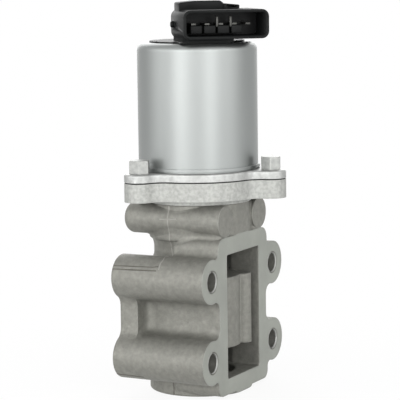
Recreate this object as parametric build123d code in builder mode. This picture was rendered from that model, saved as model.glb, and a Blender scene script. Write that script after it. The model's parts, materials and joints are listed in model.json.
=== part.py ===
from build123d import *
import os
from math import cos, radians, sin, sqrt

os.makedirs("parts", exist_ok=True)

# Row frame: the origin is the centre of the front flange's bolt pattern, on its machined face.
# X runs across the flange, Y back through the body, Z up along the valve axis.

# Bolt pattern of the front face, and the cast body drawn around it
hole_pitch_x = 57.8
hole_pitch_z = 34.5
hole_radius = 4.4
hole_chamfer = 0.5
tube_wall = 5.1
tube_stand = 6.7
block_proud = 1.2
block_side_strip = 2.4
block_foot_strip = 2.9
waist_blend = 4.0
ear_blend = 2.3
shoulder_length = 11.0
shoulder_fall = 3.7
base_proud = 1.2
base_round = 1.0

# Cast body, front to back
axis_y = 21.0
body_depth = 43.5
rear_flange_thickness = 8.6
rear_flange_side = 2.1
rear_flange_lift = 4.75
rear_blend = 5.0
rear_edge_round = 0.8
barrel_set_in = 1.2
base_boss_proud = 1.3
lower_neck_set_in = 1.3
upper_neck_proud = 0.6
neck_step_drop = 2.4
neck_step_round = 1.8
neck_length = 13.5
level_tube_radius = 6.7
level_tube_set_in = 5.4
level_tube_overhang = 3.9
level_tube_round = 3.5

# Front port and the column that stands in it
port_height = 53.4
port_side_wall = 8.15
port_roof_wall = 7.5
port_floor_wall = 6.7
port_pocket_margin = 5.0
port_corner = 1.0
column_margin = 0.5
column_half_height = 15.2
column_rib_radius = 3.75
column_rib_x = 9.6
column_rib_stand = 15.8

# Rear port
rear_port_width = 24.0
rear_port_height = 20.0
rear_port_corner = 6.0

# Bores on the valve axis
chamber_wall = 4.0
chamber_roof_round = 3.0
lower_bore_set_in = 2.2
plug_ledge = 1.2
plug_thickness = 5.0
plug_socket_flats = 10.0
plug_socket_depth = 3.0
spring_floor_thickness = 9.3

# Seats, poppets and stem
seat_clearance = 1.6
seat_height = 3.0
lower_seat_width = 2.6
upper_seat_width = 3.0
middle_chamber_set_in = 0.8
upper_seat_set_in = 0.4
upper_seat_ledge = 1.0
ledge_width = 1.2
seat_bevel = 1.0
seat_gap = 0.05
poppet_bevel_below = 0.4
poppet_rim = 1.2
poppet_hub_wall = 1.8
poppet_hub_length = 6.5
valve_travel = 5.0
stem_radius = 3.0
stem_tail = 2.0
guide_wall = 2.0
guide_reach = 2.0
guide_stand = 8.0
seal_wall = 1.0
seal_height = 3.0

# Return spring and its retainer
spring_stand = 2.2
spring_wire_radius = 0.9
spring_turns = 5
wire_sides = 8
retainer_margin = 1.6
retainer_thickness = 2.0
retainer_lip = 1.5

# Solenoid can
can_radius = 25.75
can_height = 54.2
can_wall = 1.0
can_round = 3.1
can_bead_proud = 0.85
can_bead_height = 1.2
can_groove_height = 0.6
can_mouth_ledge = 3.0

# Bearing flange, gasket and mounting plate
flange_proud = 1.75
flange_thickness = 9.9
flange_step = 2.0
flange_step_proud = 1.0
flange_bore_clearance = 1.2
spigot_wall = 4.0
spigot_length = 5.0
bolt_stand = 6.95
bolt_first_angle = 38.2
bolt_count = 3
flange_ear_radius = 6.5
flange_ear_blend = 8.0
gasket_thickness = 0.5
gasket_inset = 0.3
plate_thickness = 3.5
plate_edge_round = 0.9
plate_bore_radius = 16.0
bolt_radius = 2.45
bolt_flats = 8.0
bolt_head_height = 5.6
bolt_head_chamfer = 0.3
bolt_head_taper = 30.0
bolt_head_turn = 45.0
bolt_engagement = 7.5

# Magnet core, armature and coil
core_flange_thickness = 4.0
core_spigot = 3.2
core_bush_wall = 1.5
core_bush_length = 8.0
armature_length = 20.0
armature_play = 0.3
armature_gap = 0.5
armature_seat_width = 0.5
armature_stand = 4.3
stem_top_stand = 2.0
sleeve_radius = 9.8
sleeve_wall = 0.5
bobbin_play = 1.25
bobbin_tube_wall = 2.2
bobbin_cheek = 1.6
winding_set_in = 1.5
upper_ring_thickness = 5.0
seal_space = 2.6

# Connector cap
cap_angle = -48.0
cap_lip_thickness = 1.15
cap_disc_proud = 0.6
tower_radius = 9.0
tower_rise = 12.4
skirt_wall = 2.0
skirt_drop = 7.3
socket_width = 35.9
socket_height = 12.2
socket_offset = 5.65
socket_rise = 8.0
socket_overhang = 1.25
socket_back = 5.0
socket_depth = 16.0
socket_wall = 1.2
socket_corner = 3.0
pedestal_set_back = 3.25
pedestal_back = -10.0
pedestal_low = -12.4
pedestal_high = 10.2
pedestal_corner = 2.0
latch_block_rise = 3.7
latch_block_low = -12.3
latch_block_high = 6.9
latch_block_back = 7.0
latch_block_front = 15.0
latch_ramp_rise = 2.3
latch_ramp_gap = 0.8
latch_ramp_width = 5.9
latch_recess_margin = 0.7
latch_recess_depth = 4.0
latch_round = 0.8
terminal_count = 5
terminal_pitch = 5.9
terminal_width = 2.0
terminal_thickness = 0.8
terminal_length = 8.0
terminal_root = 1.5
seal_ring_set_in = 5.5
seal_ring_corner = 0.4

# Position sensor
sensor_cavity_roof = 1.7
sensor_guide_radius = 6.0
sensor_guide_ledge = 0.8
sensor_guide_thickness = 2.5
plunger_radius = 2.0
plunger_gap = 0.05
plunger_collar_play = 1.0
plunger_collar_height = 1.5
plunger_collar_stand = 6.0
plunger_tail = 3.0
sensor_spring_stand = 1.3
sensor_spring_wire_radius = 0.35
sensor_spring_turns = 5
board_width = 6.0
board_thickness = 0.8
board_height = 13.0
board_stand = 1.0
wiper_width = 1.5
wiper_thickness = 0.4

# Clearances
fit_gap = 0.02
running_gap = 0.04
touch_gap = 0.02
wiper_gap = 0.3
bolt_clearance = 0.35
thread_clearance = 0.05

# Widths and radii that follow from the sizes above
ear_radius = hole_radius + tube_wall
waist_half_width = hole_pitch_x / 2 - tube_stand
block_half_width = waist_half_width + block_proud
port_width = 2 * (block_half_width - port_side_wall)
rear_flange_half_width = hole_pitch_x / 2 + rear_flange_side
rear_flange_half_height = hole_pitch_z / 2 + rear_flange_lift
barrel_radius = waist_half_width - barrel_set_in
base_boss_radius = barrel_radius + base_boss_proud
lower_neck_radius = barrel_radius - lower_neck_set_in
upper_neck_radius = barrel_radius + upper_neck_proud
level_tube_x = upper_neck_radius - level_tube_set_in
outer_chamber_radius = barrel_radius - chamber_wall
column_radius = outer_chamber_radius + column_margin
lower_bore_radius = outer_chamber_radius - lower_bore_set_in
plug_radius = lower_bore_radius + plug_ledge
lower_seat_radius = lower_bore_radius - seat_clearance
middle_chamber_radius = lower_seat_radius - middle_chamber_set_in
upper_seat_radius = middle_chamber_radius - upper_seat_set_in
lower_throat_radius = lower_seat_radius - lower_seat_width
upper_throat_radius = upper_seat_radius - upper_seat_width
guide_radius = stem_radius + guide_wall
seal_radius = guide_radius + seal_wall
spring_mean_radius = seal_radius + spring_stand
retainer_radius = spring_mean_radius + retainer_margin
flange_bore_radius = retainer_radius + flange_bore_clearance
spring_chamber_radius = flange_bore_radius + spigot_wall
flange_radius = can_radius + flange_proud
flange_step_radius = upper_neck_radius + flange_step_proud
bolt_circle_radius = can_radius + bolt_stand
can_bead_radius = can_radius + can_bead_proud
bobbin_flange_radius = can_radius - can_wall - bobbin_play
winding_radius = bobbin_flange_radius - winding_set_in
sleeve_outer = sleeve_radius + sleeve_wall
bobbin_tube_radius = sleeve_outer + fit_gap + bobbin_tube_wall
armature_radius = sleeve_radius - armature_play
armature_seat_radius = stem_radius - armature_seat_width
cap_lip_radius = can_radius - can_wall - bobbin_play
can_mouth_radius = cap_lip_radius - can_mouth_ledge
cap_disc_radius = can_mouth_radius - 5 * fit_gap
skirt_radius = sensor_guide_radius + skirt_wall
seal_ring_radius = cap_lip_radius - seal_ring_set_in
sensor_bore_radius = sensor_guide_radius - sensor_guide_ledge
board_face = sensor_bore_radius + board_stand
plunger_collar_radius = sensor_bore_radius - plunger_collar_play
sensor_spring_mean_radius = plunger_radius + sensor_spring_stand
socket_reach = can_radius + socket_overhang
socket_floor = socket_reach - socket_depth
pedestal_reach = can_radius - pedestal_set_back
latch_ramp_low = latch_block_high + latch_ramp_gap
latch_ramp_high = latch_ramp_low + latch_ramp_width

# Heights and depths that follow from the sizes above
roof_z = port_height / 2
block_rise = roof_z + port_roof_wall
block_drop = roof_z + port_floor_wall
block_corner = block_rise - hole_pitch_z / 2 - ear_radius - block_side_strip
block_foot_corner = block_drop - hole_pitch_z / 2 - ear_radius - block_foot_strip
base_z = -block_drop - base_proud
neck_step_rise = block_rise - neck_step_drop
neck_rise = block_rise + neck_length
spring_chamber_floor = roof_z + spring_floor_thickness
lower_seat_z = -column_half_height
upper_seat_z = column_half_height - upper_seat_ledge - seat_height
guide_top = spring_chamber_floor + guide_stand
rear_flange_y = body_depth - rear_flange_thickness
port_pocket_depth = axis_y - port_pocket_margin
level_tube_z = neck_rise - level_tube_radius
level_tube_end = axis_y + upper_neck_radius + level_tube_overhang
flange_top = neck_rise + flange_thickness
gasket_top = flange_top + gasket_thickness
plate_top = gasket_top + plate_thickness
can_top = plate_top + can_height
retainer_z = gasket_top - retainer_thickness - touch_gap
cap_lip_top = can_top - can_wall - touch_gap
cap_lip_z = cap_lip_top - cap_lip_thickness
upper_ring_top = cap_lip_z - seal_space
upper_ring_z = upper_ring_top - upper_ring_thickness
bobbin_top = upper_ring_z - touch_gap
bobbin_z = plate_top + core_flange_thickness + touch_gap
skirt_z = cap_lip_z - skirt_drop
armature_top = skirt_z - armature_stand
armature_z = armature_top - armature_length
core_pole_top = armature_z - armature_gap - valve_travel
stem_top = armature_top + stem_top_stand
socket_z = can_top + socket_rise
socket_top = socket_z + socket_height / 2
tower_top = can_top + tower_rise
sensor_cavity_top = tower_top - sensor_cavity_roof
guide_plate_top = skirt_z + sensor_guide_thickness
collar_z = guide_plate_top + plunger_collar_stand
plunger_z = stem_top + plunger_gap

# Places
valve_axis = Axis((0, axis_y, 0), (0, 0, 1))
axis_plane = Plane((0, axis_y, 0))
axis_section = Plane.XZ.offset(-axis_y)
rear_face = Plane.XZ.offset(-body_depth)
mouth_plane = Plane(
    (0, axis_y, socket_z),
    x_dir=(cos(radians(cap_angle)), sin(radians(cap_angle)), 0),
    z_dir=(sin(radians(cap_angle)), -cos(radians(cap_angle)), 0),
)
# On this plane x is the distance out towards the socket's mouth and y runs along the mouth
cap_plane = Plane((0, axis_y, 0), x_dir=mouth_plane.z_dir, z_dir=(0, 0, 1))


def draw_tubes(blend):
    """Four bolt tubes, blended into the sides of the web that the sketch already holds."""
    with GridLocations(hole_pitch_x, hole_pitch_z, 2, 2):
        Circle(ear_radius)
    fillet([v for v in vertices() if abs(v.Y) < hole_pitch_z / 2], blend)


def draw_flange(inset=0):
    """Round disc with three bolt ears, blended into it."""
    Circle(flange_radius - inset)
    with PolarLocations(bolt_circle_radius, bolt_count, start_angle=bolt_first_angle):
        Circle(flange_ear_radius - inset)
    fillet(vertices(), flange_ear_blend + inset)


def draw_bolt_holes(radius):
    with PolarLocations(bolt_circle_radius, bolt_count, start_angle=bolt_first_angle):
        Circle(radius, mode=Mode.SUBTRACT)


def draw_poppet(seat_z, throat_radius):
    """Half section of a poppet below its seat, with a cone parallel to the seat's bevel."""
    cone = throat_radius + seat_bevel - seat_gap * sqrt(2)
    Polygon(
        (stem_radius + fit_gap, seat_z - poppet_hub_length),
        (stem_radius + poppet_hub_wall, seat_z - poppet_hub_length),
        (stem_radius + poppet_hub_wall, seat_z - poppet_bevel_below - 2 * poppet_rim),
        (cone + poppet_bevel_below, seat_z - poppet_bevel_below - poppet_rim),
        (cone + poppet_bevel_below, seat_z - poppet_bevel_below),
        (cone - seat_bevel + seat_gap, seat_z + seat_bevel - seat_gap),
        (stem_radius + fit_gap, seat_z + seat_bevel - seat_gap),
        align=None,
    )


def draw_seat(seat_z, outer_radius, throat_radius):
    """Half section of a seat ring with its bevel on the underside."""
    Polygon(
        (outer_radius - fit_gap, seat_z),
        (outer_radius - fit_gap, seat_z + seat_height),
        (throat_radius, seat_z + seat_height),
        (throat_radius, seat_z + seat_bevel),
        (throat_radius + seat_bevel, seat_z),
        align=None,
    )


def draw_step(low_z, high_z, outer_radius, inner_radius=0):
    """Half section of a plain ring or disc about the valve axis."""
    middle = ((inner_radius + outer_radius) / 2, (low_z + high_z) / 2)
    with Locations(middle):
        Rectangle(outer_radius - inner_radius, high_z - low_z)


# Valve body
with BuildPart() as valve_body:
    # Bolt tubes and web, front to back
    with BuildSketch(Plane.XZ) as tube_section:
        Rectangle(2 * waist_half_width, 2 * rear_flange_half_height)
        draw_tubes(waist_blend)
    extrude(amount=-body_depth)
    with BuildSketch(Plane.XZ.offset(-rear_flange_y)) as rear_flange_section:
        Rectangle(2 * rear_flange_half_width, 2 * rear_flange_half_height)
        draw_tubes(rear_blend)
    extrude(amount=-rear_flange_thickness)
    fillet(valve_body.faces().sort_by(Axis.Y)[-1].outer_wire().edges(), rear_edge_round)
    # Ported block from the front face back to the valve axis
    with BuildSketch(Plane.XZ) as block_section:
        with Locations((0, (block_rise - block_drop) / 2)):
            Rectangle(2 * block_half_width, block_rise + block_drop)
        fillet([v for v in vertices() if v.Y > 0], block_corner)
        fillet([v for v in vertices() if v.Y < -roof_z - block_foot_strip], block_foot_corner)
        with Locations((waist_half_width + ear_radius, 0), (-waist_half_width - ear_radius, 0)):
            Rectangle(2 * ear_radius, hole_pitch_z, mode=Mode.SUBTRACT)
        draw_tubes(waist_blend)
        fillet(
            [v for v in vertices() if hole_pitch_z / 2 < abs(v.Y) < hole_pitch_z / 2 + ear_radius],
            ear_blend,
        )
    extrude(amount=-axis_y)
    # The block's top falls away towards the back
    with BuildSketch(Plane.YZ) as shoulder_section:
        Polygon(
            (axis_y - shoulder_length, block_rise),
            (axis_y, block_rise),
            (axis_y, block_rise - shoulder_fall),
            align=None,
        )
    extrude(amount=block_half_width, both=True, mode=Mode.SUBTRACT)
    # Base boss, barrel and neck
    with BuildSketch(axis_section) as barrel_section:
        Polygon(
            (0, base_z),
            (base_boss_radius, base_z),
            (base_boss_radius, -rear_flange_half_height),
            (barrel_radius, -rear_flange_half_height),
            (barrel_radius, rear_flange_half_height),
            (lower_neck_radius, rear_flange_half_height),
            (lower_neck_radius, neck_step_rise),
            (upper_neck_radius, neck_step_rise),
            (upper_neck_radius, neck_rise),
            (0, neck_rise),
            align=None,
        )
        fillet([v for v in vertices() if v.X > 0 and v.Y == base_z], base_round)
        fillet([v for v in vertices() if v.X > 0 and abs(v.Y - neck_step_rise) < fit_gap], neck_step_round / 2)
    revolve(axis=valve_axis)
    # Level cylinders under the bearing flange
    with BuildSketch(Plane.XZ) as level_section:
        with Locations((level_tube_x, level_tube_z), (-level_tube_x, level_tube_z)):
            Circle(level_tube_radius)
    extrude(amount=-level_tube_end)
    fillet(valve_body.edges().filter_by(GeomType.CIRCLE).group_by(Axis.Y)[-1], level_tube_round)
    split(bisect_by=Plane.XZ, keep=Keep.BOTTOM)
    # Port pocket, with the column and its rib left standing in it
    with BuildSketch(Plane.XZ) as port_section:
        RectangleRounded(port_width, port_height, port_corner)
    extrude(amount=-port_pocket_depth, mode=Mode.SUBTRACT)
    with BuildSketch(axis_plane.offset(-column_half_height)) as column_section:
        Circle(column_radius)
        with Locations((column_rib_x, -column_rib_stand)):
            Circle(column_rib_radius)
    extrude(amount=2 * column_half_height)
    # Bores on the valve axis
    with BuildSketch(axis_section) as bore_section:
        draw_step(base_z, base_z + plug_thickness, plug_radius)
        draw_step(base_z, -roof_z, lower_bore_radius)
        draw_step(-roof_z, lower_seat_z, outer_chamber_radius)
        draw_step(lower_seat_z, lower_seat_z + seat_height, lower_seat_radius)
        draw_step(lower_seat_z + seat_height, upper_seat_z, middle_chamber_radius)
        draw_step(upper_seat_z, upper_seat_z + seat_height, upper_seat_radius)
        draw_step(upper_seat_z, column_half_height, upper_seat_radius - ledge_width)
        draw_step(column_half_height, roof_z, outer_chamber_radius)
        fillet([v for v in vertices() if v.X > lower_bore_radius and v.Y == roof_z], chamber_roof_round)
        draw_step(roof_z, spring_chamber_floor, guide_radius)
        draw_step(spring_chamber_floor, neck_rise, spring_chamber_radius)
    revolve(axis=valve_axis, mode=Mode.SUBTRACT)
    with BuildSketch(rear_face) as rear_port_section:
        RectangleRounded(rear_port_width, rear_port_height, rear_port_corner)
    extrude(amount=body_depth - axis_y, mode=Mode.SUBTRACT)
    # Bolt holes
    with Locations(Plane.XZ):
        with GridLocations(hole_pitch_x, hole_pitch_z, 2, 2):
            Hole(hole_radius, depth=body_depth)
    hole_rims = [
        e
        for e in valve_body.edges().filter_by(GeomType.CIRCLE)
        if abs(e.radius - hole_radius) < fit_gap and min(abs(e.center().Y), abs(e.center().Y - body_depth)) < fit_gap
    ]
    chamfer(hole_rims, hole_chamfer)
valve_body.part.label = "valve_body"
export_step(valve_body.part, "parts/valve_body.step")

# Bottom plug, pressed into the base boss, with a hexagon socket
with BuildPart() as bottom_plug:
    with BuildSketch(axis_section) as plug_section:
        draw_step(base_z, base_z + plug_thickness - touch_gap, plug_radius - fit_gap)
    revolve(axis=valve_axis)
    with BuildSketch(axis_plane.offset(base_z)) as plug_socket:
        RegularPolygon(plug_socket_flats / 2, 6, major_radius=False)
    extrude(amount=plug_socket_depth, mode=Mode.SUBTRACT)
bottom_plug.part.label = "bottom_plug"
export_step(bottom_plug.part, "parts/bottom_plug.step")

# Valve seats
with BuildPart() as lower_valve_seat:
    with BuildSketch(axis_section) as lower_seat_section:
        draw_seat(lower_seat_z, lower_seat_radius, lower_throat_radius)
    revolve(axis=valve_axis)
lower_valve_seat.part.label = "lower_valve_seat"
export_step(lower_valve_seat.part, "parts/lower_valve_seat.step")

with BuildPart() as upper_valve_seat:
    with BuildSketch(axis_section) as upper_seat_section:
        draw_seat(upper_seat_z, upper_seat_radius, upper_throat_radius)
    revolve(axis=valve_axis)
upper_valve_seat.part.label = "upper_valve_seat"
export_step(upper_valve_seat.part, "parts/upper_valve_seat.step")

# Stem guide bush and the seal on top of it
with BuildPart() as stem_guide_bush:
    with BuildSketch(axis_section) as guide_section:
        draw_step(roof_z - guide_reach, guide_top, guide_radius - fit_gap, stem_radius + running_gap)
    revolve(axis=valve_axis)
    chamfer(stem_guide_bush.edges().group_by(Axis.Z)[0].sort_by(SortBy.RADIUS)[-1], guide_reach / 4)
stem_guide_bush.part.label = "stem_guide_bush"
export_step(stem_guide_bush.part, "parts/stem_guide_bush.step")

with BuildPart() as stem_seal:
    with BuildSketch(axis_section) as seal_section:
        draw_step(guide_top, guide_top + seal_height, seal_radius, stem_radius + running_gap)
        draw_step(guide_top - seal_height, guide_top, seal_radius, guide_radius)
    revolve(axis=valve_axis)
stem_seal.part.label = "stem_seal"
export_step(stem_seal.part, "parts/stem_seal.step")

# Bearing flange with the spigot that is pressed into the neck
with BuildPart() as bearing_flange:
    with BuildSketch(axis_plane.offset(neck_rise + flange_step)) as flange_section:
        draw_flange()
        draw_bolt_holes(bolt_radius + thread_clearance)
    extrude(amount=flange_thickness - flange_step)
    with BuildSketch(axis_section) as flange_step_section:
        draw_step(neck_rise, neck_rise + flange_step, flange_step_radius)
        draw_step(neck_rise - spigot_length, neck_rise, spring_chamber_radius - fit_gap)
    revolve(axis=valve_axis)
    with BuildSketch(axis_plane.offset(neck_rise - spigot_length)) as flange_bore:
        Circle(flange_bore_radius)
    extrude(amount=spigot_length + flange_thickness, mode=Mode.SUBTRACT)
bearing_flange.part.label = "bearing_flange"
export_step(bearing_flange.part, "parts/bearing_flange.step")

with BuildPart() as flange_gasket:
    with BuildSketch(axis_plane.offset(flange_top)) as gasket_section:
        draw_flange(gasket_inset)
        draw_bolt_holes(bolt_radius + bolt_clearance)
        Circle(plate_bore_radius, mode=Mode.SUBTRACT)
    extrude(amount=gasket_thickness)
flange_gasket.part.label = "flange_gasket"
export_step(flange_gasket.part, "parts/flange_gasket.step")

with BuildPart() as mounting_plate:
    with BuildSketch(axis_plane.offset(gasket_top)) as plate_section:
        draw_flange()
    extrude(amount=plate_thickness)
    fillet(mounting_plate.edges().group_by(Axis.Z)[-1], plate_edge_round)
    with BuildSketch(axis_plane.offset(gasket_top)) as plate_holes:
        Circle(plate_bore_radius)
        with PolarLocations(bolt_circle_radius, bolt_count, start_angle=bolt_first_angle):
            Circle(bolt_radius + bolt_clearance)
    extrude(amount=plate_thickness, mode=Mode.SUBTRACT)
mounting_plate.part.label = "mounting_plate"
export_step(mounting_plate.part, "parts/mounting_plate.step")

# Three hexagon bolts through plate and gasket into the bearing flange
with BuildPart() as flange_bolts:
    with BuildSketch(axis_plane.offset(plate_top)) as head_section:
        with PolarLocations(bolt_circle_radius, bolt_count, start_angle=bolt_first_angle):
            RegularPolygon(bolt_flats / 2, 6, major_radius=False, rotation=bolt_head_turn)
    extrude(amount=bolt_head_height)
    with BuildSketch(axis_plane.offset(plate_top + bolt_head_height)) as head_round:
        with PolarLocations(bolt_circle_radius, bolt_count, start_angle=bolt_first_angle):
            Circle(bolt_flats / 2 + bolt_head_chamfer)
    extrude(amount=-bolt_head_height, taper=-bolt_head_taper, mode=Mode.INTERSECT)
    with BuildSketch(axis_plane.offset(plate_top)) as shank_section:
        with PolarLocations(bolt_circle_radius, bolt_count, start_angle=bolt_first_angle):
            Circle(bolt_radius)
    extrude(amount=-plate_thickness - gasket_thickness - bolt_engagement)
flange_bolts.part.label = "flange_bolts"
export_step(flange_bolts.part, "parts/flange_bolts.step")

# Drawn can, open below, with a bead at its foot and a round mouth for the cap
with BuildPart() as solenoid_can:
    with BuildSketch(axis_section) as can_section:
        with BuildLine():
            Polyline(
                (can_radius - can_wall, plate_top),
                (can_radius, plate_top),
                (can_radius, plate_top + can_groove_height),
                (can_bead_radius, plate_top + can_groove_height),
                (can_bead_radius, plate_top + can_groove_height + can_bead_height),
                (can_radius, plate_top + can_groove_height + can_bead_height),
                (can_radius, can_top),
                (can_mouth_radius, can_top),
                (can_mouth_radius, can_top - can_wall),
                (can_radius - can_wall, can_top - can_wall),
                close=True,
            )
        make_face()
        outer_corners = [
            v for v in vertices() if v.X > can_radius - can_wall / 2 and v.Y > can_top - can_wall / 2
        ]
        inner_corners = [
            v
            for v in vertices()
            if can_mouth_radius + can_wall < v.X < can_radius - can_wall / 2 and v.Y > plate_top + can_round
        ]
        bead_corners = [v for v in vertices() if v.X > can_radius + (can_bead_radius - can_radius) / 2]
        fillet(outer_corners, can_round)
        fillet(inner_corners, can_round - can_wall)
        fillet(bead_corners, (can_bead_radius - can_radius) / 2)
    revolve(axis=valve_axis)
solenoid_can.part.label = "solenoid_can"
export_step(solenoid_can.part, "parts/solenoid_can.step")

# Lower pole core: flange under the coil, spigot in the plate, pole inside the sleeve
with BuildPart() as lower_pole_core:
    with BuildSketch(axis_section) as core_section:
        draw_step(plate_top, plate_top + core_flange_thickness, can_radius - can_wall - fit_gap)
        draw_step(plate_top - core_spigot, plate_top, plate_bore_radius - fit_gap)
        draw_step(plate_top, core_pole_top, sleeve_radius - fit_gap)
    revolve(axis=valve_axis)
    with BuildSketch(axis_section) as core_bore_section:
        draw_step(plate_top - core_spigot, core_pole_top, stem_radius + core_bush_wall)
    revolve(axis=valve_axis, mode=Mode.SUBTRACT)
lower_pole_core.part.label = "lower_pole_core"
export_step(lower_pole_core.part, "parts/lower_pole_core.step")

with BuildPart() as core_bush:
    with BuildSketch(axis_section) as core_bush_section:
        draw_step(
            plate_top,
            plate_top + core_bush_length,
            stem_radius + core_bush_wall - fit_gap,
            stem_radius + running_gap,
        )
    revolve(axis=valve_axis)
core_bush.part.label = "core_bush"
export_step(core_bush.part, "parts/core_bush.step")

with BuildPart() as armature_sleeve:
    with BuildSketch(axis_section) as sleeve_section:
        draw_step(plate_top + core_flange_thickness, bobbin_top, sleeve_outer, sleeve_radius)
    revolve(axis=valve_axis)
armature_sleeve.part.label = "armature_sleeve"
export_step(armature_sleeve.part, "parts/armature_sleeve.step")

# Coil
with BuildPart() as coil_bobbin:
    with BuildSketch(axis_section) as bobbin_section:
        draw_step(bobbin_z, bobbin_top, bobbin_tube_radius, sleeve_outer + fit_gap)
        draw_step(bobbin_z, bobbin_z + bobbin_cheek, bobbin_flange_radius, sleeve_outer + fit_gap)
        draw_step(bobbin_top - bobbin_cheek, bobbin_top, bobbin_flange_radius, sleeve_outer + fit_gap)
    revolve(axis=valve_axis)
coil_bobbin.part.label = "coil_bobbin"
export_step(coil_bobbin.part, "parts/coil_bobbin.step")

with BuildPart() as coil_winding:
    with BuildSketch(axis_section) as winding_section:
        draw_step(
            bobbin_z + bobbin_cheek + touch_gap,
            bobbin_top - bobbin_cheek - touch_gap,
            winding_radius,
            bobbin_tube_radius + fit_gap,
        )
    revolve(axis=valve_axis)
coil_winding.part.label = "coil_winding"
export_step(coil_winding.part, "parts/coil_winding.step")

with BuildPart() as upper_pole_ring:
    with BuildSketch(axis_section) as upper_ring_section:
        draw_step(
            upper_ring_z, upper_ring_top, can_radius - can_wall - fit_gap, skirt_radius + 2 * wiper_gap
        )
    revolve(axis=valve_axis)
upper_pole_ring.part.label = "upper_pole_ring"
export_step(upper_pole_ring.part, "parts/upper_pole_ring.step")

# Connector cap: lip under the can's roof, disc in its mouth, sensor tower, pedestal and socket
with BuildPart() as connector_cap:
    with BuildSketch(axis_section) as cap_section:
        draw_step(cap_lip_z, cap_lip_top, cap_lip_radius)
        draw_step(cap_lip_z, can_top + cap_disc_proud, cap_disc_radius)
        draw_step(skirt_z, cap_lip_z, skirt_radius)
        draw_step(cap_lip_z, tower_top, tower_radius)
    revolve(axis=valve_axis)
    with BuildSketch(cap_plane.offset(can_top)) as pedestal_section:
        with Locations(((pedestal_back + pedestal_reach) / 2, (pedestal_low + pedestal_high) / 2)):
            RectangleRounded(
                pedestal_reach - pedestal_back, pedestal_high - pedestal_low, pedestal_corner
            )
    extrude(amount=socket_rise)
    with BuildSketch(mouth_plane.offset(socket_reach)) as socket_section:
        with Locations((socket_offset, 0)):
            RectangleRounded(socket_width, socket_height, socket_corner)
    extrude(amount=socket_back - socket_reach)
    with BuildSketch(cap_plane.offset(socket_top)) as latch_section:
        with Locations(
            ((latch_block_back + latch_block_front) / 2, (latch_block_low + latch_block_high) / 2)
        ):
            Rectangle(latch_block_front - latch_block_back, latch_block_high - latch_block_low)
    extrude(amount=latch_block_rise)
    extrude(latch_section.sketch, amount=-socket_height / 2)
    with BuildSketch(cap_plane.offset(socket_top)) as ramp_section:
        with Locations(
            ((latch_block_back + latch_block_front) / 2, (latch_ramp_low + latch_ramp_high) / 2)
        ):
            Rectangle(latch_block_front - latch_block_back, latch_ramp_high - latch_ramp_low)
    extrude(amount=latch_ramp_rise)
    fillet(connector_cap.edges().group_by(Axis.Z)[-1], latch_round)
    with BuildSketch(mouth_plane.offset(latch_block_front)) as recess_section:
        Polygon(
            (latch_ramp_low + latch_recess_margin, socket_height / 2 + latch_recess_margin),
            (latch_ramp_high - latch_recess_margin, socket_height / 2 + latch_recess_margin),
            ((latch_ramp_low + latch_ramp_high) / 2, socket_height / 2 + latch_ramp_rise - latch_recess_margin),
            align=None,
        )
    extrude(amount=-latch_recess_depth, mode=Mode.SUBTRACT)
    with BuildSketch(mouth_plane.offset(socket_reach)) as cavity_section:
        with Locations((socket_offset, 0)):
            RectangleRounded(
                socket_width - 2 * socket_wall,
                socket_height - 2 * socket_wall,
                socket_corner - socket_wall,
            )
    extrude(amount=-socket_depth, mode=Mode.SUBTRACT)
    with BuildSketch(mouth_plane.offset(socket_floor - terminal_root)) as terminal_slots:
        with Locations((socket_offset, 0)):
            with GridLocations(terminal_pitch, 1, terminal_count, 1):
                Rectangle(terminal_width + 2 * fit_gap, terminal_thickness + 2 * fit_gap)
    extrude(amount=terminal_root, mode=Mode.SUBTRACT)
    # Sensor cavity, open below, with a pocket for the track board on the side away from the mouth
    with BuildSketch(axis_plane.offset(skirt_z)) as guide_seat:
        Circle(sensor_guide_radius)
    extrude(amount=sensor_guide_thickness, mode=Mode.SUBTRACT)
    with BuildSketch(cap_plane.offset(guide_plate_top)) as sensor_cavity:
        Circle(sensor_bore_radius)
        with Locations((-board_face / 2 - board_thickness / 2, 0)):
            Rectangle(board_face + board_thickness, board_width + 2 * fit_gap)
    extrude(amount=sensor_cavity_top - guide_plate_top, mode=Mode.SUBTRACT)
connector_cap.part.label = "connector_cap"
export_step(connector_cap.part, "parts/connector_cap.step")

with BuildPart() as connector_terminals:
    with BuildSketch(mouth_plane.offset(socket_floor - terminal_root + fit_gap)) as terminal_section:
        with Locations((socket_offset, 0)):
            with GridLocations(terminal_pitch, 1, terminal_count, 1):
                Rectangle(terminal_width, terminal_thickness)
    extrude(amount=terminal_root + terminal_length)
connector_terminals.part.label = "connector_terminals"
export_step(connector_terminals.part, "parts/connector_terminals.step")

with BuildPart() as cap_seal_ring:
    with BuildSketch(axis_section) as ring_section:
        with Locations((seal_ring_radius, (upper_ring_top + cap_lip_z) / 2)):
            Rectangle(2 * cap_lip_thickness, cap_lip_z - upper_ring_top - 2 * touch_gap)
        chamfer(vertices(), seal_ring_corner)
    revolve(axis=valve_axis)
cap_seal_ring.part.label = "cap_seal_ring"
export_step(cap_seal_ring.part, "parts/cap_seal_ring.step")

# Position sensor: guide plate, track board, plunger with its wiper
with BuildPart() as sensor_guide:
    with BuildSketch(axis_section) as sensor_guide_section:
        draw_step(
            skirt_z,
            guide_plate_top - touch_gap,
            sensor_guide_radius - fit_gap,
            plunger_radius + running_gap,
        )
    revolve(axis=valve_axis)
sensor_guide.part.label = "sensor_guide"
export_step(sensor_guide.part, "parts/sensor_guide.step")

with BuildPart() as sensor_board:
    with BuildSketch(cap_plane.offset(guide_plate_top)) as board_section:
        with Locations((-board_face - board_thickness / 2 + touch_gap, 0)):
            Rectangle(board_thickness - touch_gap, board_width)
    extrude(amount=board_height)
sensor_board.part.label = "sensor_board"
export_step(sensor_board.part, "parts/sensor_board.step")

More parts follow.
